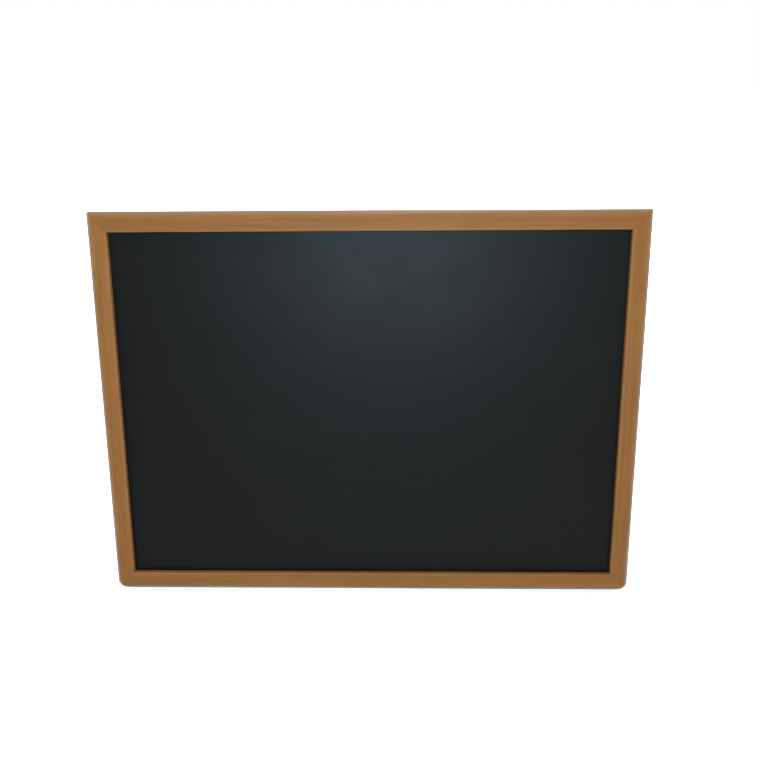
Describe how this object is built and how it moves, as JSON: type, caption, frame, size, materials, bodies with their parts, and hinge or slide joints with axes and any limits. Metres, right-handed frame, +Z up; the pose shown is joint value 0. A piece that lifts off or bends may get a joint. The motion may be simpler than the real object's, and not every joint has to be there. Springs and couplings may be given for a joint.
{
  "type": "menu chalkboard easel",
  "caption": "Landscape menu chalkboard in a mitred wooden frame that leans back on a folding ladder leg, with brass butt hinges and slotted stays.",
  "frame": {"origin": "centre of the bounding box on the surface that the object stands on", "axes": "+X along the width, +Z up; the chalk face looks towards -Y and 15 degrees up"},
  "size_m": [0.442, 0.1932, 0.312],
  "materials": {
    "wood": "satin, stained mid brown",
    "chalk_coating": "matte blackboard coating on hardboard",
    "hardboard": "raw hardboard",
    "brass": "satin",
    "steel": "zinc plated"
  },
  "bodies": {
    "board": {"top_rail": "wood", "bottom_rail": "wood", "left_rail": "wood", "right_rail": "wood", "chalk_panel": "chalk_coating", "backing_board": "hardboard", "corner_nail_top_left": "steel", "corner_nail_top_right": "steel", "corner_nail_bottom_left": "steel", "corner_nail_bottom_right": "steel", "retaining_point_top_left": "steel", "retaining_point_top_right": "steel", "retaining_point_bottom_left": "steel", "retaining_point_bottom_right": "steel", "retaining_point_left_top": "steel", "retaining_point_left_bottom": "steel", "retaining_point_right_top": "steel", "retaining_point_right_bottom": "steel", "hinge_left_board_leaf": "brass", "hinge_left_pin": "brass", "hinge_left_board_screw_left": "brass", "hinge_left_board_screw_right": "brass", "hinge_right_board_leaf": "brass", "hinge_right_pin": "brass", "hinge_right_board_screw_left": "brass", "hinge_right_board_screw_right": "brass", "stay_left_bracket": "brass", "stay_left_peg": "brass", "stay_left_bracket_screw_top": "brass", "stay_left_bracket_screw_bottom": "brass", "stay_right_bracket": "brass", "stay_right_peg": "brass", "stay_right_bracket_screw_top": "brass", "stay_right_bracket_screw_bottom": "brass"},
    "rear_leg": {"leg_stile_left": "wood", "leg_stile_right": "wood", "leg_top_crossbar": "wood", "leg_lower_crossbar": "wood", "crossbar_screw_top_left": "steel", "crossbar_screw_top_right": "steel", "crossbar_screw_lower_left": "steel", "crossbar_screw_lower_right": "steel", "hinge_left_leg_leaf": "brass", "hinge_left_leg_screw_left": "brass", "hinge_left_leg_screw_right": "brass", "hinge_right_leg_leaf": "brass", "hinge_right_leg_screw_left": "brass", "hinge_right_leg_screw_right": "brass", "stay_left_pivot_screw": "brass", "stay_left_spacer": "brass", "stay_right_pivot_screw": "brass", "stay_right_spacer": "brass"},
    "left_stay": {"stay_left_arm": "brass"},
    "right_stay": {"stay_right_arm": "brass"}
  },
  "joints": [
    {"name": "leg_fold", "type": "hinge", "parent": "board", "child": "rear_leg", "pos_m": [0, 0.00193, 0.3056], "axis": [-1, 0, 0], "range_deg": [0, 30]},
    {"name": "left_stay_swing", "type": "hinge", "parent": "rear_leg", "child": "left_stay", "pos_m": [-0.20335, 0.02451, 0.24954], "axis": [1, 0, 0], "range_deg": [0, 41.6]},
    {"name": "right_stay_swing", "type": "hinge", "parent": "rear_leg", "child": "right_stay", "pos_m": [0.20335, 0.02451, 0.24954], "axis": [1, 0, 0], "range_deg": [0, 41.6]}
  ],
  "couplings": [
    {"joint": "left_stay_swing", "follows": "leg_fold", "ratio": 1.3859},
    {"joint": "right_stay_swing", "follows": "leg_fold", "ratio": 1.3859}
  ]
}
